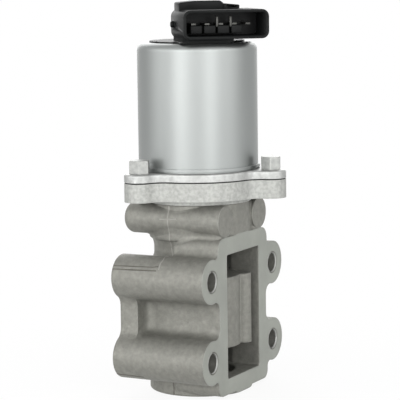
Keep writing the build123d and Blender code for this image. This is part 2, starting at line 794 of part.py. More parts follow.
with BuildPart() as sensor_plunger:
    with BuildSketch(axis_section) as plunger_section:
        draw_step(plunger_z, collar_z + plunger_collar_height + plunger_tail, plunger_radius)
        draw_step(collar_z, collar_z + plunger_collar_height, plunger_collar_radius)
    revolve(axis=valve_axis)
sensor_plunger.part.label = "sensor_plunger"
export_step(sensor_plunger.part, "parts/sensor_plunger.step")

with BuildPart() as sensor_wiper:
    wiper_reach = board_face - wiper_gap
    with BuildSketch(cap_plane.offset(collar_z + plunger_collar_height)) as wiper_section:
        with Locations((-(plunger_radius + fit_gap + wiper_reach) / 2, 0)):
            Rectangle(wiper_reach - plunger_radius - fit_gap, wiper_width)
    extrude(amount=wiper_thickness)
sensor_wiper.part.label = "sensor_wiper"
export_step(sensor_wiper.part, "parts/sensor_wiper.step")

# Moving valve: stem, poppets, spring retainer and armature
with BuildPart() as valve_stem:
    with BuildSketch(axis_section) as stem_section:
        draw_step(lower_seat_z - poppet_hub_length - stem_tail, armature_z, stem_radius)
        draw_step(armature_z, stem_top, armature_seat_radius)
    revolve(axis=valve_axis)
    chamfer(valve_stem.edges().group_by(Axis.Z)[0], stem_tail / 4)
valve_stem.part.label = "valve_stem"
export_step(valve_stem.part, "parts/valve_stem.step")

with BuildPart() as lower_poppet:
    with BuildSketch(axis_section) as lower_poppet_section:
        draw_poppet(lower_seat_z, lower_throat_radius)
    revolve(axis=valve_axis)
lower_poppet.part.label = "lower_poppet"
export_step(lower_poppet.part, "parts/lower_poppet.step")

with BuildPart() as upper_poppet:
    with BuildSketch(axis_section) as upper_poppet_section:
        draw_poppet(upper_seat_z, upper_throat_radius)
    revolve(axis=valve_axis)
upper_poppet.part.label = "upper_poppet"
export_step(upper_poppet.part, "parts/upper_poppet.step")

with BuildPart() as spring_retainer:
    with BuildSketch(axis_section) as retainer_section:
        draw_step(
            retainer_z, retainer_z + retainer_thickness, retainer_radius, stem_radius + fit_gap
        )
        draw_step(
            retainer_z - retainer_lip,
            retainer_z,
            spring_mean_radius - spring_wire_radius - fit_gap,
            stem_radius + fit_gap,
        )
    revolve(axis=valve_axis)
spring_retainer.part.label = "spring_retainer"
export_step(spring_retainer.part, "parts/spring_retainer.step")

with BuildPart() as armature:
    with BuildSketch(axis_section) as armature_section:
        draw_step(armature_z, armature_top, armature_radius, armature_seat_radius + fit_gap)
    revolve(axis=valve_axis)
    chamfer(armature.edges().filter_by(GeomType.CIRCLE).sort_by(SortBy.RADIUS)[-2:], armature_gap)
armature.part.label = "armature"
export_step(armature.part, "parts/armature.step")


def draw_spring(low_z, high_z, mean_radius, wire_radius, turns):
    """Round wire swept along a helix between two seats."""
    rise = high_z - low_z - 2 * wire_radius - 2 * touch_gap
    start = Plane((0, axis_y, low_z + wire_radius + touch_gap))
    with BuildLine(start) as coil_path:
        Helix(pitch=rise / turns, height=rise, radius=mean_radius)
    with BuildSketch(Plane(coil_path.line @ 0, z_dir=coil_path.line % 0)) as wire_section:
        RegularPolygon(wire_radius, wire_sides)
    sweep(wire_section.sketch, path=coil_path.line, is_frenet=True)


# Springs
with BuildPart() as return_spring:
    draw_spring(
        spring_chamber_floor, retainer_z, spring_mean_radius, spring_wire_radius, spring_turns
    )
return_spring.part.label = "return_spring"
export_step(return_spring.part, "parts/return_spring.step")

with BuildPart() as sensor_spring:
    draw_spring(
        collar_z + plunger_collar_height + wiper_thickness,
        sensor_cavity_top,
        sensor_spring_mean_radius,
        sensor_spring_wire_radius,
        sensor_spring_turns,
    )
sensor_spring.part.label = "sensor_spring"
export_step(sensor_spring.part, "parts/sensor_spring.step")
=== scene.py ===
import json
import math

import bpy
import bmesh
from mathutils import Matrix, Vector
from mathutils.bvhtree import BVHTree


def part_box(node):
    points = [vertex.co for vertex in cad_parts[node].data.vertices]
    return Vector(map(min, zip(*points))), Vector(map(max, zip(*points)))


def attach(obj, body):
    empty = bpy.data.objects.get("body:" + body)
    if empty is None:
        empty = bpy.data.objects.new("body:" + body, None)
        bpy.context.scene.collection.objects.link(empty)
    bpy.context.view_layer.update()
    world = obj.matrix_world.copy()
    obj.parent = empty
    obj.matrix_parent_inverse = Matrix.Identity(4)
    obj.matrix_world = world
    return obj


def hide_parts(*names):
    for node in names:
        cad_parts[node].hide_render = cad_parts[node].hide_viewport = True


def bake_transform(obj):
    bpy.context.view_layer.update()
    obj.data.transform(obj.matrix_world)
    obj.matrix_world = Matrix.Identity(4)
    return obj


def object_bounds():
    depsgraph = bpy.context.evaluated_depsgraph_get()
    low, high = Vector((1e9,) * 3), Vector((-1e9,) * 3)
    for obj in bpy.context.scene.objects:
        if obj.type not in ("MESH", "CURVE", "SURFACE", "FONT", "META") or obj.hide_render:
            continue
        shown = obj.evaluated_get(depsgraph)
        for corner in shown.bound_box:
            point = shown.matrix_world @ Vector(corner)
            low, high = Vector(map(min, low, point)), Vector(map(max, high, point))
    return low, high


MM = 0.001


def direction(azimuth, elevation):
    """Unit vector away from the valve, by degrees round from its front and up from level."""
    turn = math.radians(azimuth)
    rise = math.radians(elevation)
    return Vector((math.sin(turn) * math.cos(rise), -math.cos(turn) * math.cos(rise), math.sin(rise)))


def across(azimuth):
    """Level unit vector to the right of a viewer who stands at an azimuth in degrees."""
    turn = math.radians(azimuth)
    return Vector((math.cos(turn), math.sin(turn), 0))


def in_metres(points):
    """Pairs of millimetres as pairs of metres."""
    return [(a * MM, b * MM) for a, b in points]


# Frame
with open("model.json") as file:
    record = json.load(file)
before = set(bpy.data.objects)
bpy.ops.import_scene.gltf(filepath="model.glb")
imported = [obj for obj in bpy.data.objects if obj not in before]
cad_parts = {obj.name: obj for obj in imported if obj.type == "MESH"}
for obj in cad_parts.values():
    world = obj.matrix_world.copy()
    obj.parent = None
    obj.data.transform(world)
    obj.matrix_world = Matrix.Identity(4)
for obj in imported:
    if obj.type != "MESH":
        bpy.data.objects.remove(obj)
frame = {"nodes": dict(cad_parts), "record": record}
cad_low, cad_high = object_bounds()
nodes = frame["nodes"]

# Places read from the frame, in metres
can_low, can_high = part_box("solenoid_can")
axis_y = (can_low.y + can_high.y) / 2
mounts = {mount["name"]: mount for mount in frame["record"]["mounts"]}
hole_pattern = mounts["front_flange"]["dims"]
hole_x = hole_pattern["spacing_x_mm"] * MM / 2
hole_z = hole_pattern["spacing_y_mm"] * MM / 2
hole_radius = hole_pattern["hole_r_mm"] * MM

# Limits of the casting's machined and hidden faces
block_top = 34.2 * MM
bore_limit = 18.5 * MM
port_half_width = 15.6 * MM
port_half_height = 27.2 * MM
rear_port_reach = 17.0 * MM
hole_margin = 0.3 * MM

# The photograph's camera
camera_azimuth = -62.196
camera_elevation = 7.298
camera_roll = -0.764
camera_distance = 825.879 * MM
camera_target = Vector((0, 20.5, 47.4)) * MM
camera_lens = 171.8

# The socket's direction and sizes: low and high are along the mouth, back, floor and mouth out from the axis
mouth_azimuth = -48
mouth_out = direction(mouth_azimuth, 0)
mouth_along = across(mouth_azimuth)
socket_low = -12.3 * MM
socket_high = 24.5 * MM
socket_bottom = 117.7 * MM
socket_top = 129.9 * MM
socket_back = 4.0 * MM
socket_floor = 11.0 * MM
socket_mouth = 27.0 * MM
socket_wall = 1.2 * MM
socket_corner = 3.0 * MM

# The rest of the moulded cap
disc_rise = 0.6 * MM
tower_radius = 9.02 * MM
tower_top = 128.1 * MM
pedestal_top = 121.0 * MM
pedestal_corner = 2.0 * MM
overlap = 0.2 * MM
clear_reach = 40.0 * MM
clear_top = 140.0 * MM
sharp_angle = math.radians(35)

# The terminal carrier in the socket
shelf_low = 119.9 * MM
shelf_high = 123.2 * MM
shelf_sides = (-7.6 * MM, 14.6 * MM)
shelf_front = 20.0 * MM
slot_middles = (-2.3 * MM, 3.6 * MM, 9.5 * MM)
slot_half_width = 0.5 * MM
slot_depth = 3.0 * MM
blade_middles = (4.0 * MM, 9.9 * MM)
blade_low = 122.6 * MM
blade_high = 126.9 * MM
carrier_edge = 0.15 * MM

# Rounded inner corners, flash and hole rims
voxel = 0.6 * MM
smooth_share = 0.5
smooth_rounds = 130
proud_height = 0.04 * MM
flash_step = 0.2 * MM
flash_width = 0.6 * MM
flash_height = 0.15 * MM
ray_start = 100.0 * MM
rim_steps = 40
rim_sink = 0.01 * MM
rim_inset = 0.18 * MM
rim_depths = (0.02 * MM, 0.8 * MM, 1.1 * MM)


def add_object(name, data):
    """Object of some data, linked to the scene."""
    holder = bpy.data.objects.new(name, data)
    bpy.context.collection.objects.link(holder)
    return holder


# Material helpers
def new_tree(name):
    """Empty material with a principled shader and its output."""
    material = bpy.data.materials.new(name)
    material.use_nodes = True
    tree = material.node_tree
    tree.nodes.clear()
    output = tree.nodes.new("ShaderNodeOutputMaterial")
    shader = tree.nodes.new("ShaderNodeBsdfPrincipled")
    tree.links.new(shader.outputs["BSDF"], output.inputs["Surface"])
    return material, tree, shader


def add_math(tree, operation, first, second):
    """Result of an operation on two values."""
    step = tree.nodes.new("ShaderNodeMath")
    step.operation = operation
    tree.links.new(first, step.inputs[0])
    tree.links.new(second, step.inputs[1])
    return step.outputs["Value"]


def add_noise(tree, scale, detail=4.0, roughness=0.5, stretch=(1, 1, 1)):
    """Noise in object space; scale is in waves per metre."""
    place = tree.nodes.new("ShaderNodeTexCoord")
    mapping = tree.nodes.new("ShaderNodeMapping")
    mapping.inputs["Scale"].default_value = stretch
    noise = tree.nodes.new("ShaderNodeTexNoise")
    noise.inputs["Scale"].default_value = scale
    noise.inputs["Detail"].default_value = detail
    noise.inputs["Roughness"].default_value = roughness
    tree.links.new(place.outputs["Object"], mapping.inputs["Vector"])
    tree.links.new(mapping.outputs["Vector"], noise.inputs["Vector"])
    return noise.outputs["Fac"]


def add_ramp(tree, source, low, high, start=0.35, end=0.65):
    """Turns a value into a colour between low and high."""
    ramp = tree.nodes.new("ShaderNodeValToRGB")
    ramp.color_ramp.elements[0].position = start
    ramp.color_ramp.elements[1].position = end
    ramp.color_ramp.elements[0].color = (*low, 1)
    ramp.color_ramp.elements[1].color = (*high, 1)
    tree.links.new(source, ramp.inputs["Fac"])
    return ramp.outputs["Color"]


def add_range(tree, source, low, high, start=0.0, end=1.0):
    """Maps a value from start..end to low..high."""
    remap = tree.nodes.new("ShaderNodeMapRange")
    remap.inputs["From Min"].default_value = start
    remap.inputs["From Max"].default_value = end
    remap.inputs["To Min"].default_value = low
    remap.inputs["To Max"].default_value = high
    tree.links.new(source, remap.inputs["Value"])
    return remap.outputs["Result"]


def add_mix(tree, factor, low, high):
    """Mixes two colours or values by a factor."""
    mix = tree.nodes.new("ShaderNodeMix")
    mix.data_type = "RGBA"
    tree.links.new(factor, mix.inputs["Factor"])
    tree.links.new(low, mix.inputs["A"])
    tree.links.new(high, mix.inputs["B"])
    return mix.outputs["Result"]


def add_bump(tree, shader, height, distance, below):
    """Bump of a height over a distance in metres, on top of another normal."""
    bump = tree.nodes.new("ShaderNodeBump")
    bump.inputs["Strength"].default_value = 1.0
    bump.inputs["Distance"].default_value = distance
    tree.links.new(height, bump.inputs["Height"])
    tree.links.new(below, bump.inputs["Normal"])
    tree.links.new(bump.outputs["Normal"], shader.inputs["Normal"])
    return bump.outputs["Normal"]


def add_soft_edges(tree, radius):
    """Normal that rounds the edges by a radius in metres."""
    bevel = tree.nodes.new("ShaderNodeBevel")
    bevel.samples = 6
    bevel.inputs["Radius"].default_value = radius
    return bevel.outputs["Normal"]


def add_wear(tree, colour, soft, worn, amount):
    """Mixes in a worn colour where the softened normal leaves the face's own."""
    untouched = 0.985
    fully_worn = 0.85
    face = tree.nodes.new("ShaderNodeNewGeometry")
    match = tree.nodes.new("ShaderNodeVectorMath")
    match.operation = "DOT_PRODUCT"
    tree.links.new(face.outputs["Normal"], match.inputs[0])
    tree.links.new(soft, match.inputs[1])
    share = add_range(tree, match.outputs["Value"], 0.0, amount, untouched, fully_worn)
    bright = tree.nodes.new("ShaderNodeRGB")
    bright.outputs["Color"].default_value = (*worn, 1)
    return add_mix(tree, share, colour, bright.outputs["Color"])


def surface(
    name,
    dark,
    light,
    metallic,
    rough,
    grain_scale,
    grain_depth,
    mottle_scale=90.0,
    stretch=(1, 1, 1),
    edge=0.2 * MM,
):
    """Material with colour mottling, roughness variation, a fine grain, and soft, worn edges."""
    wear = 0.5
    wear_gain = 1.45
    material, tree, shader = new_tree(name)
    soft = add_soft_edges(tree, edge)
    mottle = add_noise(tree, mottle_scale, detail=5.0, stretch=stretch)
    colour = add_ramp(tree, mottle, dark, light)
    worn = [min(1.0, wear_gain * value) for value in light]
    tree.links.new(add_wear(tree, colour, soft, worn, wear), shader.inputs["Base Color"])
    grain = add_noise(tree, grain_scale, detail=3.0, roughness=0.6, stretch=stretch)
    tree.links.new(add_range(tree, grain, rough[0], rough[1]), shader.inputs["Roughness"])
    add_bump(tree, shader, grain, grain_depth, below=soft)
    shader.inputs["Metallic"].default_value = metallic
    return material


def cast_body(name):
    """Sand-cast aluminium, with a smoother and greener machined front face."""
    material, tree, shader = new_tree(name)
    shader.inputs["Metallic"].default_value = 0.55
    place = tree.nodes.new("ShaderNodeTexCoord")
    split = tree.nodes.new("ShaderNodeSeparateXYZ")
    tree.links.new(place.outputs["Object"], split.inputs["Vector"])
    behind = add_range(tree, split.outputs["Y"], 0.0, 1.0, 0.02 * MM, 0.06 * MM)
    above = add_range(tree, split.outputs["Z"], 0.0, 1.0, block_top + 0.1 * MM, block_top + 0.4 * MM)
    cast = add_math(tree, "MAXIMUM", behind, above)

    patches = add_noise(tree, 420, detail=6.0, roughness=0.62)
    cast_colour = add_ramp(tree, patches, (0.162, 0.161, 0.144), (0.242, 0.241, 0.216), 0.25, 0.75)
    haze = add_noise(tree, 60, detail=3.0)
    face_colour = add_ramp(tree, haze, (0.258, 0.268, 0.241), (0.298, 0.309, 0.278))
    soft = add_soft_edges(tree, 1.3 * MM)
    crisp = add_soft_edges(tree, 0.5 * MM)
    colour = add_mix(tree, cast, face_colour, cast_colour)
    worn = add_wear(tree, colour, crisp, (0.42, 0.42, 0.39), 0.6)
    tree.links.new(worn, shader.inputs["Base Color"])

    grain = add_noise(tree, 1500, detail=4.0, roughness=0.65)
    cast_rough = add_ramp(tree, grain, (0.50, 0.50, 0.50), (0.70, 0.70, 0.70), 0.2, 0.8)
    marks = add_noise(tree, 900, detail=2.0, stretch=(1, 1, 14))
    face_rough = add_ramp(tree, marks, (0.40, 0.40, 0.40), (0.50, 0.50, 0.50))
    tree.links.new(add_mix(tree, cast, face_rough, cast_rough), shader.inputs["Roughness"])

    grit = add_math(tree, "MULTIPLY", grain, cast)
    below = add_bump(tree, shader, grit, 0.10 * MM, below=soft)
    waves = add_math(tree, "MULTIPLY", add_noise(tree, 260, detail=3.0), cast)
    add_bump(tree, shader, waves, 0.25 * MM, below=below)
    return material


# Materials: dark and light colour, metallic, roughness range, grain scale and depth, and what differs
looks = {
    "cast_flange": (
        ((0.29, 0.295, 0.28), (0.38, 0.385, 0.365), 0.55, (0.50, 0.66), 2400, 0.05 * MM),
        {"mottle_scale": 700, "edge": 0.5 * MM},
    ),
    "zinc_plate": (
        ((0.32, 0.325, 0.315), (0.40, 0.405, 0.395), 0.7, (0.38, 0.50), 2400, 0.02 * MM),
        {"mottle_scale": 500, "edge": 0.4 * MM},
    ),
    "can_steel": (
        ((0.262, 0.274, 0.269), (0.282, 0.294, 0.289), 1.0, (0.43, 0.47), 3000, 0.002 * MM),
        {"mottle_scale": 60, "stretch": (1, 1, 0.2)},
    ),
    "bolt_steel": (
        ((0.29, 0.295, 0.285), (0.37, 0.375, 0.36), 0.8, (0.42, 0.54), 2400, 0.02 * MM),
        {"mottle_scale": 500, "edge": 0.5 * MM},
    ),
    "valve_steel": (
        ((0.25, 0.24, 0.22), (0.36, 0.35, 0.33), 0.9, (0.3, 0.45), 1500, 0.02 * MM),
        {},
    ),
    "core_iron": (
        ((0.20, 0.20, 0.20), (0.30, 0.30, 0.30), 0.9, (0.35, 0.5), 1500, 0.02 * MM),
        {},
    ),
    "bush_brass": (
        ((0.42, 0.30, 0.10), (0.55, 0.40, 0.15), 1.0, (0.25, 0.4), 1500, 0.02 * MM),
        {},
    ),
    "winding_copper": (
        ((0.30, 0.10, 0.04), (0.45, 0.17, 0.07), 0.8, (0.25, 0.4), 900, 0.1 * MM),
        {"stretch": (0.1, 0.1, 3)},
    ),
    "black_plastic": (
        ((0.004, 0.0045, 0.0045), (0.007, 0.0075, 0.0075), 0.0, (0.42, 0.56), 1500, 0.015 * MM),
        {"edge": 0.4 * MM},
    ),
    "pale_plastic": (
        ((0.42, 0.38, 0.30), (0.50, 0.46, 0.38), 0.0, (0.4, 0.55), 1800, 0.02 * MM),
        {},
    ),
    "gasket_black": (
        ((0.012, 0.012, 0.012), (0.03, 0.03, 0.03), 0.0, (0.6, 0.8), 1800, 0.05 * MM),
        {},
    ),
    # Tin darkened to near black as painted shade over the terminals and contact blades, which sit in the
    # socket's shade
    "terminal_tin": (
        ((0.055, 0.055, 0.052), (0.085, 0.085, 0.08), 1.0, (0.45, 0.60), 1500, 0.01 * MM),
        {},
    ),
}
materials = {"cast_aluminium": cast_body("cast_aluminium")}
for name, (main, rest) in looks.items():
    materials[name] = surface(name, *main, **rest)
for name in ("black_plastic", "gasket_black"):
    shader = materials[name].node_tree.nodes["Principled BSDF"]
    shader.inputs["Specular IOR Level"].default_value = 0.12
for part in frame["record"]["subparts"]:
    node = nodes[part["node"]]
    for place in node.material_slots:
        place.material = materials[part["material_slot"]]


def add_piece(name, mesh, slot, look=None):
    """Puts a mesh in the scene as a piece that rides on the housing."""
    piece = add_object(name, mesh)
    mesh.materials.append(look or materials[slot])
    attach(piece, "housing")


# Mesh helpers
def evaluated_copy(base):
    """Mesh of an object with its modifiers applied."""
    return bpy.data.meshes.new_from_object(base.evaluated_get(bpy.context.evaluated_depsgraph_get()))


def finished(name, mesh):
    """Mesh data with smooth faces between its sharp edges."""
    data = bpy.data.meshes.new(name)
    mesh.to_mesh(data)
    mesh.free()
    data.shade_smooth()
    data.set_sharp_from_angle(angle=sharp_angle)
    return data


def combine(base, operation, mesh):
    """Joins a form to an object, or cuts it out."""
    tool = add_object("tool", finished("tool", mesh))
    step = base.modifiers.new("form", "BOOLEAN")
    step.operation = operation
    step.solver = "EXACT"
    step.object = tool
    result = evaluated_copy(base)
    base.modifiers.clear()
    base.data = result
    bpy.data.objects.remove(tool)


def surface_tree(data):
    """Search tree of a mesh's faces."""
    corners = [v.co.copy() for v in data.vertices]
    return BVHTree.FromPolygons(corners, [tuple(p.vertices) for p in data.polygons])


# Moulded connector cap
def cap_point(along, out, z):
    """Place from distances along the mouth, out from the valve axis, and up."""
    return mouth_along * along + mouth_out * out + Vector((0, axis_y, z))


def rounded_outline(low_a, high_a, low_b, high_b, radius, steps=6):
    """Corner points of a rounded rectangle."""
    corners = (
        (high_a - radius, high_b - radius, 0),
        (low_a + radius, high_b - radius, 90),
        (low_a + radius, low_b + radius, 180),
        (high_a - radius, low_b + radius, 270),
    )
    points = []
    for a, b, start in corners:
        for step in range(steps + 1):
            turn = math.radians(start + 90 * step / steps)
            points.append((a + radius * math.cos(turn), b + radius * math.sin(turn)))
    return points


def closed_form(rows, edge):
    """Closed form between two equal outlines, with its sharp edges rounded by a radius."""
    mesh = bmesh.new()
    low, high = [[mesh.verts.new(place) for place in row] for row in rows]
    mesh.faces.new(low)
    mesh.faces.new(high)
    for i in range(len(low)):
        mesh.faces.new((low[i - 1], low[i], high[i], high[i - 1]))
    bmesh.ops.recalc_face_normals(mesh, faces=mesh.faces)
    if edge:
        sharp = [e for e in mesh.edges if e.calc_face_angle(0) > sharp_angle]
        bmesh.ops.bevel(mesh, geom=sharp, offset=edge, segments=3, profile=0.5, affect="EDGES")
    return mesh


def upright(outline, low, high, edge=0.3 * MM):
    """Form of an outline along and out, carried upwards."""
    return closed_form([[cap_point(a, b, level) for a, b in outline] for level in (low, high)], edge)


def outward(outline, low, high, edge=0.0):
    """Form of an outline along and up, carried out towards the mouth."""
    return closed_form([[cap_point(a, level, b) for a, b in outline] for level in (low, high)], edge)


def stud(along, out, z, radius, edge):
    """Short round pin that points away from the mouth's low end."""
    count = 24
    length = 2.0 * MM
    outline = []
    for step in range(count):
        turn = 2 * math.pi * step / count
        outline.append((out + radius * math.cos(turn), z + radius * math.sin(turn)))
    return closed_form([[cap_point(a, b, c) for b, c in outline] for a in (along, along - length)], edge)


def ring_cutter(low, high, radius, reach):
    """Square block with a round hole, around the valve axis."""
    mesh = bmesh.new()
    count = 48
    rows = []
    for level in (low, high):
        inner = []
        outer = []
        for step in range(count):
            turn = 2 * math.pi * (step + 0.5) / count
            a, b = math.cos(turn), math.sin(turn)
            side = max(abs(a), abs(b))
            inner.append(mesh.verts.new(cap_point(radius * a, radius * b, level)))
            outer.append(mesh.verts.new(cap_point(reach * a / side, reach * b / side, level)))
        rows.append((inner, outer))
    for i in range(count):
        for inner, outer in rows:
            mesh.faces.new((inner[i - 1], inner[i], outer[i], outer[i - 1]))
        for ring in (0, 1):
            low_ring, high_ring = rows[0][ring], rows[1][ring]
            mesh.faces.new((low_ring[i - 1], low_ring[i], high_ring[i], high_ring[i - 1]))
    bmesh.ops.recalc_face_normals(mesh, faces=mesh.faces)
    return mesh


def add_cap():
    """Connector cap with moulded edges, on the CAD cap's lip, disc and sensor tower."""
    disc_top = can_high.z + disc_rise
    core = bmesh.new()
    core.from_mesh(nodes["connector_cap"].data)
    bmesh.ops.remove_doubles(core, verts=core.verts, dist=0.001 * MM)
    cap = add_object("moulded_cap", finished("moulded_cap", core))
    combine(cap, "DIFFERENCE", ring_cutter(disc_top, clear_top, tower_radius, clear_reach))
    above_tower = rounded_outline(-clear_reach, clear_reach, -clear_reach, clear_reach, 10.0 * MM)
    combine(cap, "DIFFERENCE", upright(above_tower, tower_top, clear_top, 0))

    pedestal = rounded_outline(-11.4 * MM, 10.8 * MM, 3.0 * MM, 22.5 * MM, pedestal_corner)
    combine(cap, "UNION", upright(pedestal, disc_top - overlap, pedestal_top))
    body = rounded_outline(socket_low, socket_high, socket_bottom, socket_top, socket_corner)
    combine(cap, "UNION", outward(body, socket_back, socket_mouth, 0.35 * MM))
    latch_block = in_metres(
        [(-11.2, 125.0), (8.2, 125.0), (8.2, 132.4), (6.6, 133.5), (-4.5, 133.5), (-11.2, 132.9)]
    )
    combine(cap, "UNION", outward(latch_block, 5.5 * MM, 15.0 * MM, 0.6 * MM))
    ramp = in_metres([(8.0, 125.0), (14.9, 125.0), (14.9, 131.6), (8.0, 132.3)])
    combine(cap, "UNION", outward(ramp, 7.0 * MM, 15.4 * MM, 0.4 * MM))
    hollow = in_metres([(9.6, 130.5), (13.9, 130.5), (12.8, 131.4), (10.4, 131.5)])
    combine(cap, "DIFFERENCE", outward(hollow, 11.0 * MM, 16.0 * MM))
    combine(cap, "UNION", stud(-11.8 * MM, 9.6 * MM, 123.7 * MM, 1.4 * MM, 0.6 * MM))
    combine(cap, "DIFFERENCE", stud(-11.7 * MM, 12.8 * MM, 123.5 * MM, 0.9 * MM, 0))
    cavity = rounded_outline(
        socket_low + socket_wall,
        socket_high - socket_wall,
        socket_bottom + socket_wall,
        socket_top - socket_wall,
        socket_corner - socket_wall,
    )
    combine(cap, "DIFFERENCE", outward(cavity, socket_floor, socket_mouth + 1.0 * MM))
    cap.data.materials.clear()
    cap.data.materials.append(materials["black_plastic"])
    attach(cap, "housing")
    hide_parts("connector_cap")


def add_carrier():
    """Terminal carrier in the socket: a slotted shelf below the terminals, with two blades on it."""
    rear = socket_floor - 0.1 * MM
    outline = [(shelf_sides[0], rear), (shelf_sides[0], shelf_front)]
    for middle in slot_middles:
        outline += [
            (middle - slot_half_width, shelf_front),
            (middle - slot_half_width, shelf_front - slot_depth),
            (middle + slot_half_width, shelf_front - slot_depth),
            (middle + slot_half_width, shelf_front),
        ]
    outline += [(shelf_sides[1], shelf_front), (shelf_sides[1], rear)]
    shelf = upright(outline, shelf_low, shelf_high, carrier_edge)
    add_piece("terminal_shelf", finished("terminal_shelf", shelf), "black_plastic")
    for index, middle in enumerate(blade_middles):
        title = f"contact_blade_{index + 1}"
        section = rounded_outline(middle - 0.6 * MM, middle + 0.5 * MM, 18.0 * MM, 19.6 * MM, 0.3 * MM)
        blade = upright(section, blade_low, blade_high, carrier_edge)
        # The blades' tin colour is darkened as painted shade
        add_piece(title, finished(title, blade), "terminal_tin")


add_cap()
add_carrier()


# Springs, copied from their CAD nodes
def add_spring(node, fixed_at_foot):
    """Copy of a CAD spring that stands in place of its hidden node."""
    spring = add_object(f"coil_{node}", nodes[node].data.copy())
    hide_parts(node)
    if fixed_at_foot:
        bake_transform(spring)
    else:
        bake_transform(spring)


add_spring("return_spring", True)
add_spring("sensor_spring", False)


# Rounded inner corners of the casting
def is_outside(point):
    """Whether a point of the body's surface is outside its port, bores and bolt holes."""
    if math.hypot(abs(point.x) - hole_x, abs(point.z) - hole_z) < hole_radius + hole_margin:
        return False
    if math.hypot(point.x, point.y - axis_y) < bore_limit:
        return False
    if abs(point.x) < port_half_width and abs(point.z) < port_half_height and point.y < axis_y:
        return False
    return math.hypot(point.x, point.z) > rear_port_reach or point.y < axis_y


def add_casting_fillets():
    """Softened copy of the casting, kept only where it fills the inner corners outside."""
    soft = add_object("soft_body", nodes["valve_body"].data.copy())
    remesh = soft.modifiers.new("remesh", "REMESH")
    remesh.mode = "VOXEL"
    remesh.voxel_size = voxel
    smooth = soft.modifiers.new("smooth", "SMOOTH")
    smooth.factor = smooth_share
    smooth.iterations = smooth_rounds
    data = evaluated_copy(soft)
    bpy.data.objects.remove(soft)
    tree = surface_tree(nodes["valve_body"].data)
    mesh = bmesh.new()
    mesh.from_mesh(data)
    proud = set()
    for corner in mesh.verts:
        point, normal, face, reach = tree.find_nearest(corner.co)
        if (corner.co - point).dot(normal) > proud_height and is_outside(point):
            proud.add(corner)
    hidden = [f for f in mesh.faces if not any(v in proud for v in f.verts)]
    bmesh.ops.delete(mesh, geom=hidden, context="FACES")
    patch = bpy.data.meshes.new("casting_fillets")
    mesh.to_mesh(patch)
    mesh.free()
    patch.shade_smooth()
    add_piece("casting_fillets", patch, "cast_aluminium")
    return patch


casting_fillets = add_casting_fillets()


# Casting flash
def drape(trees, starts, ray):
    """Points where rays from a polyline of starts first meet a surface, with the normals there."""
    found = []
    for first, last in zip(starts, starts[1:]):
        count = max(1, round((last - first).length / flash_step))
        for index in range(count + 1):
            start = first.lerp(last, index / count)
            hits = [hit for hit in (tree.ray_cast(start, ray) for tree in trees) if hit[0] is not None]
            if not hits:
                continue
            point, normal = min(hits, key=lambda hit: hit[3])[:2]
            if not found or (point - found[-1][0]).length > flash_step / 4:
                found.append((point, normal))
    return found


def ridge_mesh(name, path):
    """Low rounded ridge along draped points."""
    mesh = bmesh.new()
    rows = []
    for index, (point, normal) in enumerate(path):
        before = path[max(index - 1, 0)][0]
        after = path[min(index + 1, len(path) - 1)][0]
        side = (after - before).cross(normal).normalized() * flash_width / 2
        sink = normal * flash_height * 0.3
        rise = normal * flash_height
        places = (
            point - side - sink,
            point - side * 0.5 + rise,
            point + side * 0.5 + rise,
            point + side - sink,
        )
        rows.append([mesh.verts.new(place) for place in places])
    for low, high in zip(rows, rows[1:]):
        for index in range(3):
            mesh.faces.new((low[index], low[index + 1], high[index + 1], high[index]))
    bmesh.ops.recalc_face_normals(mesh, faces=mesh.faces)
    data = bpy.data.meshes.new(name)
    mesh.to_mesh(data)
    mesh.free()
    data.shade_smooth()
    return data


def add_flash():
    """Parting lines that the mould left on both sides of the casting, dark with painted shade on the tubes
    and base, and lighter on the neck, shoulder and tube cross as ground flash with a painted highlight.
    """
    trees = [surface_tree(nodes["valve_body"].data), surface_tree(casting_fillets)]
    # Flash colour lighter than the casting: partly ground flash, partly a painted highlight on the ridges
    pale = surface(
        "flash_ground_and_highlight",
        (0.24, 0.235, 0.215),
        (0.36, 0.355, 0.33),
        0.55,
        (0.5, 0.65),
        2400,
        0.05 * MM,
        edge=0.1 * MM,
    )
    # Flash colour far darker than the casting: painted shade beside the ridges on the tubes and base
    painted_shade_flash = surface(
        "flash_painted_shade",
        (0.07, 0.065, 0.055),
        (0.13, 0.125, 0.11),
        0.4,
        (0.6, 0.75),
        2400,
        0.05 * MM,
        edge=0.1 * MM,
    )
    shoulder = [(24.2, 34.8), (23.6, 31.0), (22.0, 27.0), (21.0, 23.8), (21.3, 21.2), (21.0, 17.4)]
    # Look (dark with painted shade, or light with ground flash and a painted highlight), fall of the rays
    # per length inwards, and the line's y and z in mm over the bolt holes
    lines = {
        "neck": (pale, 0, [(24.2, 47.2), (24.2, 29.6)]),
        "shoulder": (pale, 0.6, shoulder),
        "upper_tube": (painted_shade_flash, 0, [(21.6, 23.6), (24.0, 23.2), (43.0, 22.8)]),
        "upper_tube_second": (painted_shade_flash, 0, [(22.0, 21.9), (43.0, 21.4)]),
        "lower_tube": (painted_shade_flash, 0, [(30.0, -24.5), (43.0, -24.2)]),
        "base": (painted_shade_flash, 0, [(22.6, -27.5), (22.6, -34.0)]),
        "tube_cross": (pale, 0, [(20.0, 42.0), (28.0, 41.6)]),
    }
    for side, label in ((-1, "left"), (1, "right")):
        for name, (look, fall, points) in lines.items():
            lift = fall * (ray_start - hole_x)
            starts = [Vector((side * ray_start, y, z + lift)) for y, z in in_metres(points)]
            path = drape(trees, starts, Vector((-side, 0, -fall)).normalized())
            title = f"flash_{name}_{label}"
            add_piece(title, ridge_mesh(title, path), "cast_aluminium", look)


add_flash()


